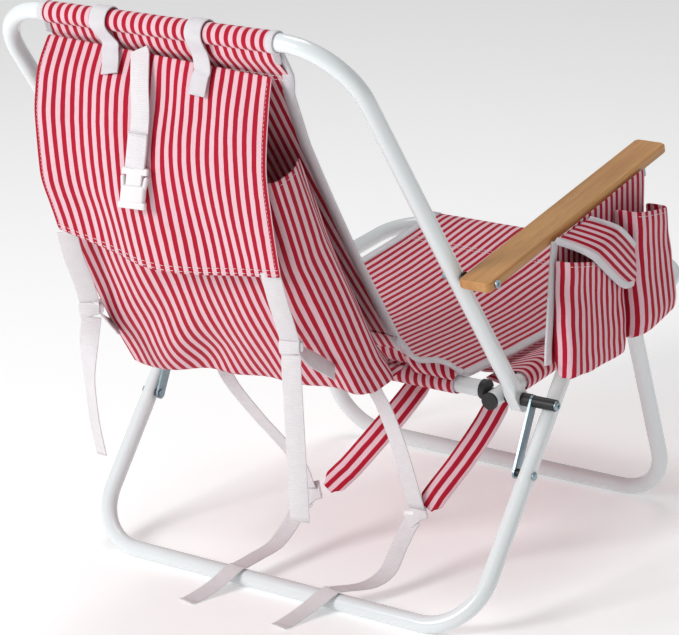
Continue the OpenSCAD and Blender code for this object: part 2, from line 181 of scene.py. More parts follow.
def newMaterial(name, rough=0.5, metallic=0.0, color=(0.8, 0.8, 0.8)):
    m = bpy.data.materials.new(name)
    m.use_nodes = True
    n = Nodes(m.node_tree)
    shader = m.node_tree.nodes["Principled BSDF"]
    shader.inputs["Base Color"].default_value = (*color, 1)
    shader.inputs["Roughness"].default_value = rough
    shader.inputs["Metallic"].default_value = metallic
    return m, n, shader


def weaveGroup():
    tree = bpy.data.node_groups.new("weave", "ShaderNodeTree")
    tree.interface.new_socket("Thread", in_out="INPUT", socket_type="NodeSocketFloat")
    tree.interface.new_socket("U", in_out="OUTPUT", socket_type="NodeSocketFloat")
    tree.interface.new_socket("V", in_out="OUTPUT", socket_type="NodeSocketFloat")
    tree.interface.new_socket("Height", in_out="OUTPUT", socket_type="NodeSocketFloat")
    n = Nodes(tree)
    inp = n.add("NodeGroupInput")
    out = n.add("NodeGroupOutput")
    uv = n.add("ShaderNodeUVMap", uv_map="cloth")
    parts = n.add("ShaderNodeSeparateXYZ")
    n.link(uv.outputs[0], parts.inputs[0])
    u, v = parts.outputs[0], parts.outputs[1]
    k = n.math("DIVIDE", 2 * math.pi, inp.outputs[0])
    su = n.math("SINE", n.math("MULTIPLY", u, k))
    sv = n.math("SINE", n.math("MULTIPLY", v, k))
    n.link(u, out.inputs["U"])
    n.link(v, out.inputs["V"])
    n.link(n.math("MULTIPLY_ADD", n.math("MULTIPLY", su, sv), 0.5, 0.5), out.inputs["Height"])
    return tree


weave = weaveGroup()


def useWeave(n, thread):
    node = n.add("ShaderNodeGroup", node_tree=weave)
    node.inputs["Thread"].default_value = thread
    return node.outputs["U"], node.outputs["V"], node.outputs["Height"]


stripe = dict(pitch=0.0127, red=(0.47, 0.004, 0.027), white=(0.84, 0.56, 0.62), thread=0.0011)


def tint(color, amount):
    return tuple(min(c * amount, 1) for c in color)


def stripeMaterial(name, shift=0.0, shade=1.0):
    m, n, shader = newMaterial(name, rough=0.62)
    u, v, height = useWeave(n, stripe["thread"])
    coord = n.add("ShaderNodeTexCoord").outputs["Object"]
    wobble = n.math("MULTIPLY_ADD", n.noise(coord, 60), 0.0012, -0.0006 + shift)
    wave = n.math("SINE", n.math("MULTIPLY", n.math("ADD", u, wobble), 2 * math.pi / stripe["pitch"]))
    mask = n.ramp(wave, -0.13, 0.13)
    tone = n.noise(coord, 14)
    fine = n.noise(coord, 900, 2)
    red = n.color(tone, tint(stripe["red"], 0.80 * shade), tint(stripe["red"], 1.12 * shade))
    white = n.color(fine, tint(stripe["white"], 0.90 * shade), tint(stripe["white"], 1.08 * shade))
    base = n.color(mask, white, red)
    # painted shade: the weave's low points, which the bump below also sinks, are darkened like shade in the
    # hollows between threads
    thread = n.color(height, (0.80, 0.80, 0.80), (1.0, 1.0, 1.0))
    weaveShade = n.add("ShaderNodeMix", data_type="RGBA", blend_type="MULTIPLY")
    weaveShade.inputs["Factor"].default_value = 0.55
    n.link(base, weaveShade.inputs[6])
    n.link(thread, weaveShade.inputs[7])
    n.link(weaveShade.outputs[2], shader.inputs["Base Color"])
    soft = n.bump(n.noise(coord, 34, 4), 0.35, 0.004)
    n.link(n.bump(height, 0.5, 0.0004, soft), shader.inputs["Normal"])
    shader.inputs["Sheen Weight"].default_value = 0.02
    shader.inputs["Specular IOR Level"].default_value = 0.16
    return m


def webbingMaterial(name, color, rib):
    m, n, shader = newMaterial(name, rough=0.7, color=color)
    u, v, height = useWeave(n, 0.0016)
    ribs = n.math("MULTIPLY_ADD", n.math("SINE", n.math("MULTIPLY", v, 2 * math.pi / rib)), 0.5, 0.5)
    both = n.math("MULTIPLY_ADD", height, 0.4, ribs)
    coord = n.add("ShaderNodeTexCoord").outputs["Object"]
    tone = n.color(n.noise(coord, 90, 4), tint(color, 0.93), tint(color, 1.05))
    # painted shade: the rib grooves, which the bump also sinks, are darkened like shade lying in them
    ribShade = n.add("ShaderNodeMix", data_type="RGBA", blend_type="MULTIPLY")
    ribShade.inputs["Factor"].default_value = 0.22
    n.link(tone, ribShade.inputs[6])
    n.link(n.color(ribs, (0.6, 0.6, 0.62), (1.0, 1.0, 1.0)), ribShade.inputs[7])
    n.link(ribShade.outputs[2], shader.inputs["Base Color"])
    n.link(n.bump(both, 0.6, 0.0006), shader.inputs["Normal"])
    shader.inputs["Sheen Weight"].default_value = 0.1
    return m


def enamelMaterial():
    m, n, shader = newMaterial("white_enamel", rough=0.22, color=(0.82, 0.84, 0.85))
    coord = n.add("ShaderNodeTexCoord").outputs["Object"]
    peel = n.noise(coord, 260, 2)
    scuff = n.ramp(n.noise(coord, 22, 8, 0.7), 0.60, 0.78)
    n.link(n.color(scuff, (0.76, 0.80, 0.81), (0.69, 0.73, 0.74)), shader.inputs["Base Color"])
    rough = n.math("MULTIPLY_ADD", n.noise(coord, 40, 4), 0.16, 0.15)
    n.link(rough, shader.inputs["Roughness"])
    n.link(n.bump(peel, 0.06, 0.0006), shader.inputs["Normal"])
    shader.inputs["Coat Weight"].default_value = 0.45
    shader.inputs["Coat Roughness"].default_value = 0.08
    return m


def woodMaterial():
    m, n, shader = newMaterial("armrest_wood", rough=0.36)
    coord = n.add("ShaderNodeTexCoord").outputs["Object"]
    turn = n.add("ShaderNodeMapping")
    turn.inputs["Rotation"].default_value = (math.radians(10.7), 0, 0)
    n.link(coord, turn.inputs[0])
    stretch = n.add("ShaderNodeMapping")
    stretch.inputs["Scale"].default_value = (1.0, 0.055, 1.0)
    n.link(turn.outputs[0], stretch.inputs[0])
    warp = n.noise(turn.outputs[0], 5, 2)
    bend = n.add("ShaderNodeVectorMath", operation="SCALE")
    comb = n.add("ShaderNodeCombineXYZ")
    n.link(warp, comb.inputs[0])
    n.link(comb.outputs[0], bend.inputs[0])
    bend.inputs["Scale"].default_value = 0.012
    shifted = n.add("ShaderNodeVectorMath", operation="ADD")
    n.link(stretch.outputs[0], shifted.inputs[0])
    n.link(bend.outputs[0], shifted.inputs[1])
    broad = n.noise(shifted.outputs[0], 70, 3)
    fine = n.noise(shifted.outputs[0], 620, 4, 0.7)
    pores = n.ramp(n.noise(shifted.outputs[0], 1500, 2), 0.60, 0.72)
    base = n.color(n.ramp(broad, 0.3, 0.7), (0.60, 0.31, 0.10), (0.46, 0.205, 0.055))
    grain = n.color(n.ramp(fine, 0.42, 0.66), base, (0.44, 0.19, 0.055))
    soft = n.add("ShaderNodeMix", data_type="RGBA")
    soft.inputs["Factor"].default_value = 0.5
    n.link(base, soft.inputs[6])
    n.link(grain, soft.inputs[7])
    pored = n.color(n.math("MULTIPLY", pores, 0.35), soft.outputs[2], (0.28, 0.11, 0.03))
    n.link(pored, shader.inputs["Base Color"])
    n.link(n.math("MULTIPLY_ADD", fine, 0.2, 0.26), shader.inputs["Roughness"])
    n.link(n.bump(fine, 0.12, 0.0004), shader.inputs["Normal"])
    shader.inputs["Coat Weight"].default_value = 0.25
    shader.inputs["Coat Roughness"].default_value = 0.18
    return m


def zincMaterial():
    m, n, shader = newMaterial("zinc_steel", rough=0.34, metallic=1.0, color=(0.55, 0.62, 0.66))
    coord = n.add("ShaderNodeTexCoord").outputs["Object"]
    cloud = n.noise(coord, 120, 5, 0.65)
    n.link(n.color(cloud, (0.20, 0.29, 0.33), (0.42, 0.50, 0.54)), shader.inputs["Base Color"])
    n.link(n.math("MULTIPLY_ADD", cloud, 0.3, 0.2), shader.inputs["Roughness"])
    n.link(n.bump(n.noise(coord, 800, 2), 0.08, 0.0003), shader.inputs["Normal"])
    return m


def plasticMaterial(name, color, rough):
    m, n, shader = newMaterial(name, rough=rough, color=color)
    coord = n.add("ShaderNodeTexCoord").outputs["Object"]
    speck = n.noise(coord, 1400, 2)
    n.link(n.math("MULTIPLY_ADD", n.noise(coord, 70, 4), 0.18, rough - 0.09), shader.inputs["Roughness"])
    n.link(n.bump(speck, 0.15, 0.0002), shader.inputs["Normal"])
    return m


materials = dict(
    stripes=stripeMaterial("striped_canvas"),
    webbing=webbingMaterial("white_webbing", (0.80, 0.765, 0.785), 0.0022),
    binding=webbingMaterial("white_binding", (0.76, 0.735, 0.765), 0.0012),
    enamel=enamelMaterial(),
    wood=woodMaterial(),
    zinc=zincMaterial(),
    black=plasticMaterial("black_plastic", (0.012, 0.012, 0.013), 0.42),
    white=plasticMaterial("white_plastic", (0.78, 0.76, 0.77), 0.38),
    thread=plasticMaterial("thread", (0.85, 0.82, 0.83), 0.7),
)
print("materials made")

# ---- mesh helpers ----


def meshObject(name, verts, faces, uvs, material):
    mesh = bpy.data.meshes.new(name)
    mesh.from_pydata([tuple(v) for v in verts], [], faces)
    if uvs is not None:
        layer = mesh.uv_layers.new(name="cloth")
        for loop in mesh.loops:
            layer.data[loop.index].uv = uvs[loop.vertex_index]
    mesh.materials.append(materials[material])
    for poly in mesh.polygons:
        poly.use_smooth = True
    obj = bpy.data.objects.new(name, mesh)
    bpy.context.collection.objects.link(obj)
    return obj


def grid(name, rows, uvs, material, thick=1.2, closed=False, subdiv=1):
    nr, nc = len(rows), len(rows[0])
    verts = [p for row in rows for p in row]
    flat = [uv for row in uvs for uv in row]
    faces = []
    for r in range(nr - 1):
        for c in range(nc - 1 + (1 if closed else 0)):
            d = (c + 1) % nc
            faces.append((r * nc + c, r * nc + d, (r + 1) * nc + d, (r + 1) * nc + c))
    obj = meshObject(name, verts, faces, flat, material)
    if thick:
        solid = obj.modifiers.new("thickness", "SOLIDIFY")
        solid.thickness = thick / 1000
        solid.offset = 0
    if subdiv:
        sub = obj.modifiers.new("smooth", "SUBSURF")
        sub.levels = sub.render_levels = subdiv
    return obj


def ribbon(name, path, across, width, thick, material, edge=0.6):
    half, t = width / 2000, thick / 2000
    e = edge / 1000
    shape = [(-half, -t + e * 0.3), (-half + e, -t), (half - e, -t), (half, -t + e * 0.3),
             (half, t - e * 0.3), (half - e, t), (-half + e, t), (-half, t - e * 0.3)]
    verts, uvs, faces = [], [], []
    run = 0.0
    count = len(path)
    for i, p in enumerate(path):
        if i:
            run += (p - path[i - 1]).length
        tangent = (path[min(i + 1, count - 1)] - path[max(i - 1, 0)]).normalized()
        side = across(i / (count - 1)) if callable(across) else Vector(across)
        side = (side - tangent * side.dot(tangent)).normalized()
        out = side.cross(tangent).normalized()
        for a, b in shape:
            verts.append(p + side * a + out * b)
            uvs.append((a, run))
    k = len(shape)
    for i in range(count - 1):
        for j in range(k):
            m = (j + 1) % k
            faces.append((i * k + j, i * k + m, (i + 1) * k + m, (i + 1) * k + j))
    faces.append(tuple(reversed(range(k))))
    faces.append(tuple(range((count - 1) * k, count * k)))
    return meshObject(name, verts, faces, uvs, material)


def stitches(name, path, out, length=3.4, gap=1.8, wide=0.7):
    pts = [p.copy() for p in path]
    dist = [0.0]
    for a, b in zip(pts, pts[1:]):
        dist.append(dist[-1] + (b - a).length)

    def at(d):
        for i in range(1, len(pts)):
            if d <= dist[i]:
                k = (d - dist[i - 1]) / max(dist[i] - dist[i - 1], 1e-9)
                return pts[i - 1].lerp(pts[i], k)
        return pts[-1]
    verts, faces = [], []
    d = 0.001
    out = Vector(out).normalized()
    w = wide / 2000
    while d + length / 1000 < dist[-1]:
        a, b = at(d), at(d + length / 1000)
        side = (b - a).cross(out).normalized() * w
        base = len(verts)
        for p, lift in ((a, 0.0), (a.lerp(b, 0.25), w * 1.4), (b.lerp(a, 0.25), w * 1.4), (b, 0.0)):
            q = p + out * lift
            verts += [q + side, q + out * w, q - side, q - out * w]
        for i in range(3):
            for j in range(4):
                m = (j + 1) % 4
                faces.append((base + i * 4 + j, base + i * 4 + m, base + i * 4 + 4 + m, base + i * 4 + 4 + j))
        faces.append((base + 3, base + 2, base + 1, base))
        faces.append((base + 12, base + 13, base + 14, base + 15))
        d += (length + gap) / 1000
    return meshObject(name, verts, faces, None, "thread")


def box(name, centre, size, axes, material, bevel=1.0):
    x, y, z = (Vector(a).normalized() for a in axes)
    verts = [centre + x * sx * size[0] / 2000 + y * sy * size[1] / 2000 + z * sz * size[2] / 2000
             for sz in (-1, 1) for sy in (-1, 1) for sx in (-1, 1)]
    faces = [(0, 2, 3, 1), (4, 5, 7, 6), (0, 1, 5, 4), (2, 6, 7, 3), (0, 4, 6, 2), (1, 3, 7, 5)]
    obj = meshObject(name, verts, faces, None, material)
    mod = obj.modifiers.new("edge", "BEVEL")
    mod.width = bevel / 1000
    mod.segments = 3
    return obj


# ---- free straps ----

strapLook = dict(width=25, thick=1.6)
freeStraps = {
    "strap_tail_left": dict(
        body="seat", far="bare",
        route=[(42, 42, 74), (48, 54, 64), (51, 76, 43), (51, 105, 30), (54, 138, 26),
               (55, 172, 24.8), (57, 184, 24.2), (65, 215, 10), (73, 248, 2), (76, 262, 2)]),
    "strap_tail_right": dict(
        body="seat", far="bare",
        route=[(-126, 41, 80), (-124, 50, 70), (-123, 70, 50), (-125, 98, 28), (-117, 130, 20),
               (-99, 170, 24.8), (-94, 182, 24.6), (-81, 215, 9), (-75, 248, 2), (-73, 262, 2)]),
    "strap_webbing_left": dict(
        body="seat", far="object",
        route=[(42, 39, 89), (54, 44, 126), (70, 60, 159), (91, 85, 202), (113, 110, 254), (122, 118, 299)]),
    "strap_webbing_right": dict(
        body="seat", far="object",
        route=[(-131, 37, 96), (-123, 60, 183), (-116, 80, 242), (-110, 96, 277), (-107, 101, 307)]),
    "closure_tail_left": dict(
        body="back", far="bare",
        route=[(180, 293, 377), (184, 295, 350), (188, 294, 320), (191, 291, 285), (188, 290, 237),
               (180, 289, 191)]),
    "closure_tail_right": dict(
        body="back", far="bare",
        route=[(-117, 271, 372), (-118, 273, 350), (-118, 272, 320), (-119, 271, 240), (-120, 270, 155)]),
}


def turnedAcross(angle):
    return Vector((math.cos(angle), math.sin(angle), 0))


straps = {}
for key, strap in freeStraps.items():
    line = spline([pt(*p) for p in strap["route"]], 10)
    acrossWay = (1, 0, 0)
    if key == "closure_tail_left":
        acrossWay = lambda t: turnedAcross(0.65 - smooth(t * 1.6))
    if key == "closure_tail_right":
        acrossWay = (0.95, 0.3, 0)
    piece = ribbon(key.replace("_", "-"), line, acrossWay, strapLook["width"], strapLook["thick"], "webbing")
    strap["line"] = line
    straps[key] = piece
    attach(piece, strap["body"])
    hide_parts(key)
print("free straps made")

# ---- hard pieces ----

look = dict(
    enamel=["seat_frame", "seat_rear_rail", "back_frame", "front_leg_frame", "rear_leg_frame"],
    zinc=["leg_pivot_rivets", "pivot_bolts", "arm_screws", "notched_racks", "links", "link_end_rivets",
          "link_leg_rivets", "apex_pins", "apex_heads"],
    black=["rail_saddles", "seat_end_caps", "pivot_spacers", "leg_pivot_spacers", "pivot_washers",
           "stop_rollers", "arm_washers", "link_washers", "front_leg_plugs", "rear_leg_plugs"],
    wood=["armrest_right", "armrest_left"],
)
for key, names in look.items():
    for name in names:
        obj = nodes[name]
        obj.data.materials.clear()
        obj.data.materials.append(materials[key])
        mod = obj.modifiers.new("edge", "BEVEL")
        mod.width = 0.0012 if key == "wood" else 0.0004
        mod.segments = 2
        mod.limit_method = "ANGLE"
        mod.angle_limit = math.radians(35)
        mod.harden_normals = True
print("hard pieces dressed")

# ---- back sling ----

backSling = dict(
    low=58, seam=575, top=626, sag=9,
    half=[(50, 112), (80, 114), (461, 144), (545, 158), (575, 171), (700, 174)],
)


def halfBack(s):
    return along(backSling["half"], s)


def slingOff(x, s):
    t = (s - backSling["low"]) / (backSling["seam"] - backSling["low"])
    sag = backSling["sag"] * math.sin(math.pi * min(max(1 - t * 0.92, 0), 1))
    return 2.5 + sag * (1 - 0.25 * (x / 170) ** 2)


def makeBackSling():
    cols = 48
    rows, uvs = [], []
    for i in range(41):
        s = mix(backSling["low"], backSling["seam"], i / 40)
        h = halfBack(s)
        across = [mix(-h, h, c / cols) for c in range(cols + 1)]
        rows.append([onBack(x, s, slingOff(x, s)) for x in across])
        uvs.append([(mix(-h, h, c / cols) / 1000, s / 1000) for c in range(cols + 1)])
    # over the front of the rail, round it and down to the seam again
    loop = []
    r = 12.4
    for a in range(-60, 241, 12):
        ang = math.radians(a)
        loop.append((backSling["top"] + r * math.sin(ang), -r * math.cos(ang)))
    loop.append((backSling["top"] - 24, 11.0))
    loop.append((backSling["seam"] + 12, 6.5))
    loop.append((backSling["seam"] - 4, 4.4))
    run = 0.0
    prev = (backSling["seam"], 2.5)
    for s, off in loop:
        run += math.hypot(s - prev[0], off - prev[1])
        prev = (s, off)
        row = []
        for c in range(cols + 1):
            x = mix(-173, 173, c / cols)
            ripple = 0.8 * noise.noise(Vector((x / 17, s / 22, off / 20)))
            row.append(onBack(x, s + ripple * 0.5, off + ripple * (1 if off > 0 else 0)))
        rows.append(row)
        v = (backSling["seam"] + run) / 1000
        uvs.append([(mix(-173, 173, c / cols) / 1000, v) for c in range(cols + 1)])
    obj = grid("backSling", rows, uvs, "stripes", thick=1.2)
    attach(obj, "back")
    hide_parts("back_sling")
    extras = []
    outward = onBack(0, 0, -1) - onBack(0, 0, 0)
    for side in (-1, 1):
        edge = [onBack(side * halfBack(s), s, slingOff(halfBack(s), s))
                for s in [mix(backSling["low"], 612, k / 50) for k in range(51)]]
        tape = ribbon("backBinding" + ("L" if side > 0 else "R"), edge, outward, 3.6, 15, "binding")
        extras.append(tape)
        ringPath = [onBack(side * 172.5, s, off) for s, off in loop[:-2]]
        cuff = ribbon("railCuff" + ("L" if side > 0 else "R"), ringPath, (1, 0, 0), 9, 2.6, "binding")
        extras.append(cuff)
    for k, s in enumerate((backSling["seam"], backSling["seam"] - 7)):
        seam = [onBack(x, s, along([(500, 3.5), (575, 6.6), (600, 8)], s)) for x in range(-168, 169, 8)]
        extras.append(stitches("backSeam%d" % k, seam, onBack(0, 0, 1) - onBack(0, 0, 0)))
    for e in extras:
        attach(e, "back")
    return obj


makeBackSling()
print("back sling made")

# ---- seat sling ----

seatSling = dict(half=190, sag=20)


def seatPoint(x, t, lift=0.0):
    front = (-486 * math.cos(seatAngle), pivotZ + 486 * math.sin(seatAngle) + 13.6)
    rear = (10, 268 + 13.6)
    y = mix(front[0], rear[0], t)
    sag = seatSling["sag"] * math.sin(math.pi * t) * (1 - 0.35 * (x / 190) ** 2)
    dip = 1.6 * noise.noise(Vector((x / 60, y / 70, 3)))
    return pt(x, y, mix(front[1], rear[1], t) - sag + dip + lift)


def railLoop(y0, z0, r, start, end, steps):
    return [(y0 + r * math.cos(math.radians(a)), z0 + r * math.sin(math.radians(a)))
            for a in [mix(start, end, k / steps) for k in range(steps + 1)]]


def makeSeatSling():
    cols = 52
    h = seatSling["half"]
    rows, uvs = [], []
    run = 0.0
    sf = (-486 * math.cos(seatAngle), pivotZ + 486 * math.sin(seatAngle))
    under = [(sf[0] + 84, sf[1] - 4), (sf[0] + 50, sf[1] - 9)] + railLoop(sf[0], sf[1], 12.6, -80, -262, 14)
    last = None
    for y, z in under:
        if last:
            run += math.hypot(y - last[0], z - last[1])
        last = (y, z)
        rows.append([pt(mix(-h, h, c / cols), y, z) for c in range(cols + 1)])
        uvs.append([(mix(-h, h, c / cols) / 1000, run / 1000) for c in range(cols + 1)])
    for i in range(1, 41):
        t = i / 40
        run += 494 / 40
        rows.append([seatPoint(mix(-h, h, c / cols), t) for c in range(cols + 1)])
        uvs.append([(mix(-h, h, c / cols) / 1000, run / 1000) for c in range(cols + 1)])
    obj = grid("seatSling", rows, uvs, "stripes", thick=1.2)
    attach(obj, "seat")
    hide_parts("seat_sling")
    extras = []
    for side in (-1, 1):
        edge = [seatPoint(side * h, k / 40) for k in range(41)]
        extras.append(ribbon("seatBinding" + ("L" if side > 0 else "R"), edge, (0, 0, 1), 3.4, 15, "binding"))
    seam = [seatPoint(x, 0.168, 1.2) for x in range(-186, 187, 8)]
    extras.append(stitches("seatSeam", seam, (0, 0, 1)))
    extras.append(stitches("seatSeam2", [seatPoint(x, 0.182, 1.2) for x in range(-186, 187, 8)], (0, 0, 1)))
    for e in extras:
        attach(e, "seat")


makeSeatSling()


def makeRearSleeve():
    rows, uvs = [], []
    loop = railLoop(10, 268, 13.0, 118, -250, 30)
    cols = 48
    run = 0.0
    for i, (y, z) in enumerate(loop):
        if i:
            run += math.hypot(y - loop[i - 1][0], z - loop[i - 1][1])
        row = []
        for c in range(cols + 1):
            x = mix(-182, 182, c / cols)
            bump = 0.9 * noise.noise(Vector((x / 15, y / 12, z / 12)))
            row.append(pt(x, y + bump, z + bump * 0.5))
        rows.append(row)
        uvs.append([(mix(-182, 182, c / cols) / 1000, run / 1000) for c in range(cols + 1)])
    obj = grid("rearRailSleeve", rows, uvs, "stripes", thick=1.2)
    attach(obj, "seat")


makeRearSleeve()


def makeSideSleeve(side):
    # under-cloth: from beneath the seat's edge out and round the side tube
    rows, uvs = [], []
    cols = 30
    profile = [(176, 8.5), (200, 10.5), (218, 12.2), (232, 13.2)]
    for a in range(96, -97, -12):
        profile.append((238 + 13.4 * math.cos(math.radians(a)), 13.4 * math.sin(math.radians(a))))
    profile += [(224, -11), (205, -6), (184, -2)]
    run = 0.0
    for i, (x, z) in enumerate(profile):
        if i:
            run += math.hypot(x - profile[i - 1][0], z - profile[i - 1][1])
        row, uvRow = [], []
        for c in range(cols + 1):
            s = mix(44, 234, c / cols)
            wob = 0.8 * noise.noise(Vector((x / 14, s / 16, 7)))
            inner = smooth((238 - x) / 50)
            y = -s * math.cos(seatAngle)
            t = (y + 484) / 494
            lower = inner * 18 * math.sin(math.pi * min(max(t, 0), 1))
            sink = lower * (1 if z > 0 else 0.4)
            row.append(pt(side * (x + wob), y, pivotZ + s * math.sin(seatAngle) + z + wob - sink))
            uvRow.append((s / 1000, run / 1000))
        rows.append(row)
        uvs.append(uvRow)
    obj = grid("sideSleeve" + ("L" if side > 0 else "R"), rows, uvs, "stripes", thick=1.2)
    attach(obj, "seat")
    return obj


sleeves = [makeSideSleeve(side) for side in (-1, 1)]
for sleeve in sleeves:
    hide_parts("seat_side_sleeves")


# the loose edge where the seat cloth runs up into the back: share, half width, depth, height
joinEdge = [(0.0, 189, 10, 283), (0.1, 180, 13, 287), (0.2, 170, 16, 293), (0.3, 157, 19, 296),
            (0.42, 146, 21, 295), (0.52, 136, 24, 293.5), (0.62, 127, 28, 296), (0.72, 121, 33, 303),
            (0.82, 118, 39, 313), (0.92, 117, 48, 325), (1.0, 120, 56.5, 334)]


def joinValue(t, k):
    return along([(row[0], row[k]) for row in joinEdge], t)


def makeLumbar():
    rows, uvs = [], []
    cols, count = 48, 40
    run = 0.0
    lastMid = None
    for i in range(count + 1):
        t = i / count
        h = joinValue(t, 1)
        middle = mix(283, 334, smooth(t))
        row = []
        for c in range(cols + 1):
            f = 2 * c / cols - 1
            row.append(pt(f * h, joinValue(t, 2), mix(middle, joinValue(t, 3), f ** 4)))
        mid = row[cols // 2]
        if lastMid is not None:
            run += (mid - lastMid).length
        lastMid = mid
        rows.append(row)
        uvs.append([((2 * c / cols - 1) * h / 1000, run) for c in range(cols + 1)])
    obj = grid("seatBackJoin", rows, uvs, "stripes", thick=1.2)
    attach(obj, "seat")
    extras = []
    for side, tag in ((0, "R"), (-1, "L")):
        edge = spline([row[side] for row in rows[::4]], 5)
        tape = ribbon("joinBinding" + tag, edge, (0, 0.4, 1), 12, 2.6, "binding")
        extras.append(tape)
        sign = -1 if side == 0 else 1
        low, lowUv = [], []
        for k in range(5):
            f = k / 4
            line = []
            for t in [j / 30 for j in range(31)]:
                x = min(joinValue(t, 1), 183)
                y = mix(joinValue(t, 2), 19 + 3 * f, smooth(f * 1.2)) + 5 * math.sin(math.pi * f)
                pucker = 1.5 * noise.noise(Vector((x / 11, f * 3, 2)))
                line.append(pt(sign * x, y, mix(joinValue(t, 3) - 1.5, 276, f) + pucker))
            low.append(line)
            spread = [sign * min(joinValue(j / 30, 1), 183) / 1000 for j in range(31)]
            lowUv.append([(u + 0.012 * f, 0.012 * f) for u in spread])
        skirt = grid("joinSkirt" + tag, low, lowUv, "stripes", thick=1.2)
        extras.append(skirt)
    for e in extras:
        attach(e, "seat")


makeLumbar()
print("seat made")

# ---- storage pouch ----

pouch = dict(
    right=-150, left=186, lean=22,
    sling=[(0.0, (66, 306)), (0.16, (98, 336)), (0.5, (187, 480)), (1.0, (272, 623))],
    face=[(0.0, (172, 291)), (0.28, (227, 371)), (0.52, (273, 448)), (0.66, (298, 492)), (1.0, (338, 606))],
)


def profile(table, t):
    for (t0, a), (t1, b) in zip(table, table[1:]):
        if t <= t1:
            k = min(max((t - t0) / (t1 - t0), 0), 1)
            return (mix(a[0], b[0], k), mix(a[1], b[1], k))
    return table[-1][1]


def makePouch():
    rows, uvs = [], []
    count = 34
    v = 0.0
    last = None
    for i in range(count + 1):
        t = i / count
        ay, az = profile(pouch["sling"], t)
        by, bz = profile(pouch["face"], t)
        swell = 16 * smooth(1 - t / 0.8)
        left = pouch["left"] + swell
        right = pouch["right"] - 5 * math.sin(math.pi * t)
        slingHalf = halfBack(mix(90, 440, t)) - 2
        gy, gz = ay - by, az - bz
        depth = math.hypot(gy, gz)
        ring, us = [], []
        steps = 9
        edgeR = max(-slingHalf, right)
        # right gusset, from the sling out to the face
        for k in range(steps):
            f = k / steps
            x = mix(edgeR, right, smooth(f * 2.2)) - 3 * math.sin(math.pi * f)
            ring.append((x, ay - gy * f, az - gz * f))
            us.append(pouch["right"] / 1000 - depth * (1 - f) / 1000)
        wide = left - right
        cols = 40
        for c in range(cols + 1):
            f = c / cols
            x = mix(right, left, f)
            edge = min(f, 1 - f) * wide
            tuck = mix(2.5, 5, smooth(t * 4)) * (1 - smooth(edge / 10))
            belly = 13 * math.sin(math.pi * f) * math.sin(math.pi * min(t * 1.1, 1))
            fold = 8.0 * noise.noise(Vector((x / 70 + t * 2.2, t * 3.1, 5))) * smooth(edge / 40)
            slack = smooth((x - 10) / 90) * smooth((0.5 - t) / 0.3) * smooth(edge / 30)
            crease = 5.5 * math.sin((x + 320 * t) / 21) * slack
            out = belly + fold + crease - tuck
            out += pouch["lean"] * smooth((x + 10) / 190)
            ny, nz = 0.83, -0.55
            ring.append((x, by + ny * out, bz + nz * out))
            us.append(mix(pouch["right"], pouch["left"], f) / 1000)
        edgeL = min(slingHalf, left)
        for k in range(1, steps + 1):
            f = k / steps
            x = mix(left, edgeL, smooth((f - 0.25) / 0.75)) + 6 * math.sin(math.pi * f)
            far = pouch["lean"] * (1 - f)
            ring.append((x, by + gy * f + 0.83 * far, bz + gz * f - 0.55 * far))
            us.append((pouch["left"] + math.hypot(depth + pouch["lean"], left - edgeL) * f) / 1000)
        if last is not None:
            v += math.hypot(by - last[0], bz - last[1])
        last = (by, bz)
        rows.append([pt(*p) for p in ring])
        uvs.append([(u, v / 1000) for u in us])
    # the bottom panel closes the lowest ring
    base = rows[0]
    ay, az = profile(pouch["sling"], 0)
    under, underUv = [], []
    for k, (p, (u, _)) in enumerate(zip(base, uvs[0])):
        q = p.copy()
        if 9 <= k < len(base) - 9:
            q.y = pt(0, ay + 4, 0).y
            q.z = pt(0, 0, az - 1).z
        under.append(q)
        underUv.append((u, -0.085))
    rows.insert(0, under)
    uvs.insert(0, underUv)
    obj = grid("storagePouch", rows, uvs, "stripes", thick=1.4)
    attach(obj, "back")
    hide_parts("storage_pouch")
    top = rows[-1]
    hem = [p + Vector((-0.0012, 0.0004, -0.007)) for p in top[:10]]
    extra = stitches("pouchHemR", hem, (-1, 0.1, 0), length=4, gap=2.5)
    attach(extra, "back")


makePouch()
print("pouch made")

# ---- pouch flap ----

flap = dict(
    right=[(0.0, (333, 733)), (0.2, (343, 690)), (0.48, (350, 627)), (0.74, (340, 564)), (1.0, (326, 491))],
    left=[(0.0, (352, 753)), (0.13, (372, 722)), (0.26, (381, 690)), (0.4, (385, 658)), (0.68, (381, 587)),
          (0.84, (368, 547)), (1.0, (355, 508))],
    hem=[(-154, 491), (-93, 483), (-36, 476), (15, 474), (51, 479), (95, 489), (139, 500), (170, 509)],
    x0=-153, x1=170,
)


def easeProfile(table, t):
    keys = [k for k, _ in table]
    i = max(j for j in range(len(keys) - 1) if keys[j] <= t) if t < 1 else len(keys) - 2
    ks = [max(i - 1, 0), i, i + 1, min(i + 2, len(keys) - 1)]
    a, b, c, d = (Vector(table[j][1]) for j in ks)
    u = (t - keys[i]) / (keys[i + 1] - keys[i])
    m0 = (c - a) / max(keys[ks[2]] - keys[ks[0]], 1e-6) * (keys[i + 1] - keys[i])
    m1 = (d - b) / max(keys[ks[3]] - keys[ks[1]], 1e-6) * (keys[i + 1] - keys[i])
    s = u * u * (3 - 2 * u)
    h = b * (1 - s) + c * s + m0 * u * (1 - u) ** 2 - m1 * u * u * (1 - u)
    return h.x, h.y


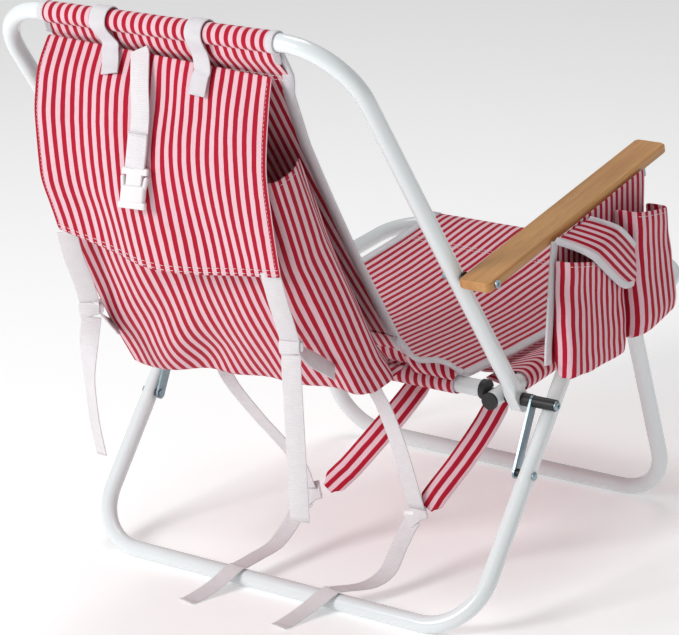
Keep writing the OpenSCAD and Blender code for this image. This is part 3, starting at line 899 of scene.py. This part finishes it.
def flapPoint(x, t, out=0.0):
    k = (x - flap["x0"]) / (flap["x1"] - flap["x0"])
    ry, rz = easeProfile(flap["right"], t)
    ly, lz = easeProfile(flap["left"], t)
    y = mix(ry, ly, k)
    hem = along(flap["hem"], x)
    topZ = mix(733, 753, k)
    z = mix(topZ, hem, (mix(rz, lz, k) - topZ) / (mix(491, 508, k) - topZ))
    y += 3.2 * math.sin(x / 27 + 0.6) * smooth((t - 0.35) / 0.5)
    y += 4.0 * noise.noise(Vector((x / 55, t * 3, 1.7))) * smooth(t * 4)
    y -= 7 * math.exp(-((x + 4) / 22) ** 2) * smooth((0.55 - t) / 0.4) * smooth(t * 6)
    return pt(x, y + out, z)


def makeFlap():
    cols, count = 56, 34
    rows, uvs = [], []
    for i in range(count + 1):
        t = i / count
        rows.append([flapPoint(mix(flap["x0"], flap["x1"], c / cols), t) for c in range(cols + 1)])
        uvs.append([(mix(flap["x0"], flap["x1"], c / cols) / 1000, -0.27 * t) for c in range(cols + 1)])
    obj = grid("pouchFlap", rows, uvs, "stripes", thick=1.3)
    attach(obj, "back")
    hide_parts("pouch_flap")
    extras = []
    for k, t in enumerate((0.965, 0.985)):
        line = [flapPoint(mix(-151, 168, c / 60), t, 1.2) for c in range(61)]
        extras.append(stitches("flapHem%d" % k, line, (0, 1, 0.1), length=4, gap=2.4))
    for k, x in enumerate((-148, 165)):
        line = [flapPoint(x, mix(0.03, 0.97, c / 40), 1.2) for c in range(41)]
        extras.append(stitches("flapSide%d" % k, line, (0, 1, 0.1), length=3, gap=2.2, wide=0.5))
    for e in extras:
        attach(e, "back")


makeFlap()


def flapT(z):
    return min(max((739 - z) / 250, 0), 1)


def makeFlapStrap():
    path = [onBack(31, 600, 17)]
    for x, z in ((29, 744), (26, 728), (22, 704), (19, 672), (19, 640), (23, 608)):
        path.append(flapPoint(x, flapT(z), 6.5))
    line = spline(path, 6)
    obj = ribbon("flapStrap", line, (1, 0.12, 0), 25, 2.0, "webbing")
    doubled = [p + Vector((0, 0.0022, 0)) for p in line[-9:]]
    loop = ribbon("flapStrapLoop", doubled, (1, 0.12, 0), 26.5, 3.4, "webbing")
    for e in (obj, loop):
        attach(e, "back")
    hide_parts("flap_strap")
    end = line[-1]
    down = (line[-1] - line[-6]).normalized()
    side = Vector((1, 0.12, 0)).normalized()
    out = side.cross(down).normalized()
    if out.y < 0:
        out = -out
    parts = []
    c = end + out * 0.001
    # ladder bar, latch body with waist, and two side arms
    parts.append(box("buckleBar", c + down * 0.002, (36, 6, 9), (side, out, down), "white", 1.8))
    parts.append(box("buckleSocket", c + down * 0.030, (33, 9, 22), (side, out, down), "white", 3.0))
    parts.append(box("buckleNeck", c + down * 0.012, (22, 6, 16), (side, out, down), "white", 1.5))
    for k in (-1, 1):
        armAt = c + down * 0.016 + side * k * 0.0155
        parts.append(box("buckleArm" + ("A" if k < 0 else "B"), armAt, (5, 6.5, 17),
                         (side + down * 0.14 * k, out, down - side * 0.14 * k), "white", 2.0))
    parts.append(box("buckleFoot", c + down * 0.044, (38, 7, 9), (side, out, down), "white", 2.2))
    for e in parts:
        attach(e, "back")
    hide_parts("flap_buckle")


makeFlapStrap()


def makeRailLoops():
    made = []
    for k, (x0, x1, zEnd) in enumerate(((80, 64, 712), (-64, -58, 703))):
        path = [onBack(x0, 600, -4), onBack(x0, 615, -14.5), onBack(x0, 626, -15.2),
                onBack(x0, 637, -11), onBack(x0, 641.5, 0),
                onBack(x0, 637, 11), onBack(x0, 626, 15.8), onBack(mix(x0, x1, 0.3), 604, 15.5),
                flapPoint(mix(x0, x1, 0.55), 0.02, 6), flapPoint(mix(x0, x1, 0.8), flapT(724), 6),
                flapPoint(x1, flapT(zEnd), 7)]
        line = spline(path, 5)
        obj = ribbon("railLoop%d" % k, line, (1, 0, 0), 24, 1.8, "binding")
        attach(obj, "back")
        made.append(obj)
    for obj in made:
        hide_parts("rail_loops")


makeRailLoops()


def makeClosures():
    pieces, sliders = [], []
    sets = (
        ("L", (180, 292, 388), [(160, 352, 506), (166, 336, 470), (174, 312, 430), (180, 295, 396)],
         [(180, 287, 389), (184, 266, 368), (187, 248, 353), (188, 236, 345)], (0.8, 0.55, 0)),
        ("R", (-117, 270, 383), [(-137, 331, 494), (-131, 312, 455), (-123, 288, 415), (-117, 273, 390)],
         [(-117, 266, 384), (-124, 250, 366), (-134, 232, 350), (-141, 217, 338)], (0.95, 0.3, 0)),
    )
    for tag, slider, hang, anchor, side in sets:
        for part, route, wide in (("Strap", hang, 25), ("Anchor", anchor, 24)):
            line = spline([pt(*p) for p in route], 6)
            across = side if part == "Strap" else (0.5, 0.2, 0.75) if tag == "R" else (0.3, 0.5, 0.75)
            obj = ribbon("closure%s%s" % (part, tag), line, across, wide, 1.7, "webbing")
            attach(obj, "back")
            pieces.append(obj)
        turn = [pt(slider[0], slider[1] - 5, slider[2] - 2), pt(slider[0], slider[1] - 1, slider[2] + 8),
                pt(slider[0], slider[1] + 4, slider[2] + 6), pt(slider[0], slider[1] + 5, slider[2] - 4),
                pt(slider[0], slider[1] + 2, slider[2] - 10)]
        fold = ribbon("closureFold" + tag, spline(turn, 6), side, 26, 1.8, "webbing")
        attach(fold, "back")
        pieces.append(fold)
        axes = (side, Vector((0, 0, 1)).cross(Vector(side)), (0, 0, 1))
        bar = box("closureSlider" + tag, pt(*slider), (30, 5, 12), axes, "white", 1.5)
        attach(bar, "back")
        sliders.append(bar)
    for obj in pieces:
        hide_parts("closure_webbing")
    for obj in sliders:
        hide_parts("closure_sliders")


makeClosures()
print("flap and closures made")

# ---- shoulder straps ----

shoulder = dict(
    left=[(-111, -16, 256), (-82, 4, 210), (-23, 20, 135), (-4, 24, 114), (18, 29, 91)],
    right=[(-223, -25, 248), (-208, -8, 209), (-182, 8, 162), (-157, 26, 121), (-142, 30, 97)],
    width=33, thick=8,
)


def makeShoulder(tag):
    line = spline([pt(*p) for p in shoulder[tag]], 8)
    count = len(line)
    verts, uvs, faces = [], [], []
    ringSize = 20
    run = 0.0
    for i, p in enumerate(line):
        if i:
            run += (p - line[i - 1]).length
        t = i / (count - 1)
        tangent = (line[min(i + 1, count - 1)] - line[max(i - 1, 0)]).normalized()
        side = Vector((1, 0.25, 0.1))
        side = (side - tangent * side.dot(tangent)).normalized()
        out = side.cross(tangent)
        taper = mix(1.0, 0.5, smooth((t - 0.86) / 0.14)) * mix(0.8, 1, smooth(t / 0.08))
        puff = mix(0.3, 1, smooth(t / 0.1)) * mix(1, 0.35, smooth((t - 0.85) / 0.15))
        for k in range(ringSize):
            a = 2 * math.pi * k / ringSize
            cx = math.copysign(abs(math.cos(a)) ** 0.7, math.cos(a))
            sy = math.copysign(abs(math.sin(a)) ** 0.9, math.sin(a))
            bump = 1 + 0.10 * noise.noise(Vector((k, run * 40, 2)))
            dent = 1 - 0.45 * math.exp(-(cx / 0.16) ** 2)
            x = cx * shoulder["width"] / 2000 * taper
            verts.append(p + side * x + out * sy * shoulder["thick"] / 2000 * puff * bump * dent)
            uvs.append((x + (0.004 if sy < 0 else 0), run))
    for i in range(count - 1):
        for j in range(ringSize):
            m = (j + 1) % ringSize
            faces.append((i * ringSize + j, i * ringSize + m, (i + 1) * ringSize + m, (i + 1) * ringSize + j))
    faces.append(tuple(reversed(range(ringSize))))
    faces.append(tuple(range((count - 1) * ringSize, count * ringSize)))
    obj = meshObject("shoulderStrap" + tag.capitalize(), verts, faces, uvs, "stripes")
    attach(obj, "seat")
    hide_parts("shoulder_strap_" + tag)


for tag in ("left", "right"):
    makeShoulder(tag)


def makeStrapSliders():
    made = []
    for tag, at in (("L", (40, 38, 82)), ("R", (-128, 36, 88))):
        axes = ((1, 0.2, 0), (0, 1, 0.6), (0, -0.6, 1))
        bar = box("strapSlider" + tag, pt(*at), (30, 9, 8), axes, "white", 2)
        turn = [(-14, -4, 8), (-4, 1, 4), (3, 5, -3), (8, 8, -8)]
        fold = ribbon("strapFold" + tag, spline([pt(*(Vector(at) + Vector(q))) for q in turn], 6),
                      (0.5, -0.3, 0.6), 25, 3.2, "webbing")
        for e in (bar, fold):
            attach(e, "seat")
            made.append(e)
    for e in made:
        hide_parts("strap_sliders")


makeStrapSliders()
print("shoulder straps made")

# ---- armrest pouches ----

pouches = dict(panelX=-327, small=26, large=44)


def makePanel():
    cols, count = 14, 24
    rear = [(0.0, (9, 478)), (0.5, (20, 395)), (1.0, (27, 324))]
    fore = [(0.0, (-205, 521)), (0.5, (-203, 410)), (1.0, (-200, 306))]
    rows, uvs = [], []
    for i in range(count + 1):
        t = i / count
        ry, rz = profile(rear, t)
        fy, fz = profile(fore, t)
        row, uvRow = [], []
        for c in range(cols + 1):
            f = c / cols
            y = mix(ry, fy, f)
            z = mix(rz, fz, f) - 14 * math.sin(math.pi * f) * smooth((t - 0.6) / 0.4) * 0.3
            row.append(pt(pouches["panelX"] + 1.4 * noise.noise(Vector((y / 40, z / 40, 9))), y, z))
            uvRow.append((y / 1000, z / 1000))
        rows.append(row)
        uvs.append(uvRow)
    obj = grid("sidePanel", rows, uvs, "stripes", thick=1.4)
    edge = [rows[i][0] for i in range(count + 1)]
    tape = ribbon("sidePanelBinding", edge, (0, 1, 0), 12, 3.4, "binding")
    for e in (obj, tape):
        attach(e, "armrests")
    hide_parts("side_pouch_panel")


makePanel()


def makePocket(name, node, rear, fore, out, bottom, topRear, topFore):
    rows, uvs = [], []
    count, steps = 22, 36
    for i in range(count + 1):
        t = i / count
        y0, y1 = along(rear, t), along(fore, t)
        z0, z1 = mix(bottom[0], topRear, t), mix(bottom[1], topFore, t)
        swell = out * (0.9 + 0.1 * smooth(t * 6)) * mix(1.12, 0.95, smooth(t / 0.8))
        row = []
        for c in range(steps + 1):
            ang = math.pi * c / steps
            edge = abs(math.cos(ang)) ** 0.34 * math.copysign(1, math.cos(ang))
            reach = abs(math.sin(ang)) ** 0.34
            f = 0.5 - 0.5 * edge
            x = pouches["panelX"] - 2.6 - swell * reach
            x -= 2.6 * noise.noise(Vector((mix(y0, y1, f) / 26, t * 4, out))) * reach
            z = mix(z0, z1, f) + 1.5 * noise.noise(Vector((f * 5, 4, out))) * (1 - t)
            row.append(pt(x, mix(y0, y1, f), z))
        run = [0.0]
        for p, q in zip(row, row[1:]):
            run.append(run[-1] + math.hypot(q.x - p.x, q.y - p.y))
        rows.append(row)
        uvs.append([(u - run[steps // 2], t * 0.15) for u in run])
    lowest = [Vector((pt(pouches["panelX"] - 2.6, 0, 0).x, p.y, p.z + 0.004)) for p in rows[0]]
    rows.insert(0, lowest)
    uvs.insert(0, [(u, -out / 1000) for u, _ in uvs[0]])
    obj = grid(name, rows, uvs, "stripes", thick=1.4)
    hem = [p + Vector((-0.0011, 0, -0.006)) for p in rows[-1][2:-2]]
    seam = stitches(name + "Hem", hem, (-1, 0, 0.05), length=3.6, gap=2.4)
    for e in (obj, seam):
        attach(e, "armrests")
    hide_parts(node)


makePocket("smallPocket", "small_side_pouch", rear=[(0, 6), (0.2, 17), (1, 13)], fore=[(0, -119), (1, -120)],
           out=25, bottom=(301, 303), topRear=456, topFore=426)
makePocket("largePocket", "large_side_pouch", rear=[(0, -123), (1, -124)], fore=[(0, -218), (1, -202)],
           out=41, bottom=(319, 340), topRear=487, topFore=476)


def makeTongue():
    # from its seam on the panel over the small pocket's mouth, ending in a rounded tip
    cols, count = 16, 30
    rows, uvs = [], []
    for i in range(count + 1):
        t = i / count
        ay, az = mix(10, -121, t), mix(480, 386, smooth(t) * 0.35 + t * 0.65)
        by, bz = mix(-62, -158, t), mix(489, 408, t ** 1.3)
        rnd = math.sqrt(max(1 - max((t - 0.78) / 0.22, 0) ** 2, 0))
        row, uvRow = [], []
        for c in range(cols + 1):
            f = c / cols
            g = 0.5 + (f - 0.5) * rnd
            y, z = mix(ay, by, g), mix(az, bz, g)
            x = pouches["panelX"] - 3 - 29 * smooth(t * 3.2) - 3 * math.sin(math.pi * f) * smooth(t * 2)
            row.append(pt(x, y, z))
            uvRow.append(((g - 0.5) * 0.072, t * 0.16))
        rows.append(row)
        uvs.append(uvRow)
    obj = grid("pocketTongue", rows, uvs, "stripes", thick=1.6)
    rim = [rows[i][0] for i in range(count + 1)] + [rows[i][-1] for i in range(count, -1, -1)]
    tape = ribbon("pocketTongueRim", spline(rim[::3], 4), (-0.2, 0.4, 1), 9, 3.2, "binding")
    for e in (obj, tape):
        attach(e, "pocket_flap")
    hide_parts("side_pouch_flap")


makeTongue()
print("armrest pouches made")

# ---- floor, backdrop and light ----


lamps = (
    ("key", (1.2, 3.6, 2.2), 1.4, 100),
    ("fill", (-3.2, 0.4, 1.8), 2.6, 5),
    ("top", (0.6, -0.6, 3.6), 1.4, 30),
)


def makeStage():
    bpy.ops.mesh.primitive_plane_add(size=60, location=(0, 0, -0.0005))
    floor = bpy.context.object
    floor.name = "floor"
    m, n, shader = newMaterial("floor", rough=0.9, color=(0.93, 0.93, 0.93))
    shader.inputs["Emission Color"].default_value = (1, 1, 1, 1)
    shader.inputs["Emission Strength"].default_value = 0.22
    floor.data.materials.append(m)
    world = bpy.data.worlds.new("studio")
    bpy.context.scene.world = world
    world.use_nodes = True
    world.node_tree.nodes["Background"].inputs[0].default_value = (1, 1, 1, 1)
    world.node_tree.nodes["Background"].inputs[1].default_value = 0.38
    for name, at, size, power in lamps:
        data = bpy.data.lights.new(name, "AREA")
        data.size = size
        data.energy = power
        lamp = bpy.data.objects.new(name, data)
        bpy.context.collection.objects.link(lamp)
        lamp.location = at
        lamp.rotation_euler = (Vector((0, 0, 0.35)) - Vector(at)).to_track_quat("-Z", "Y").to_euler()
    bpy.context.scene.view_settings.view_transform = "Standard"


makeStage()
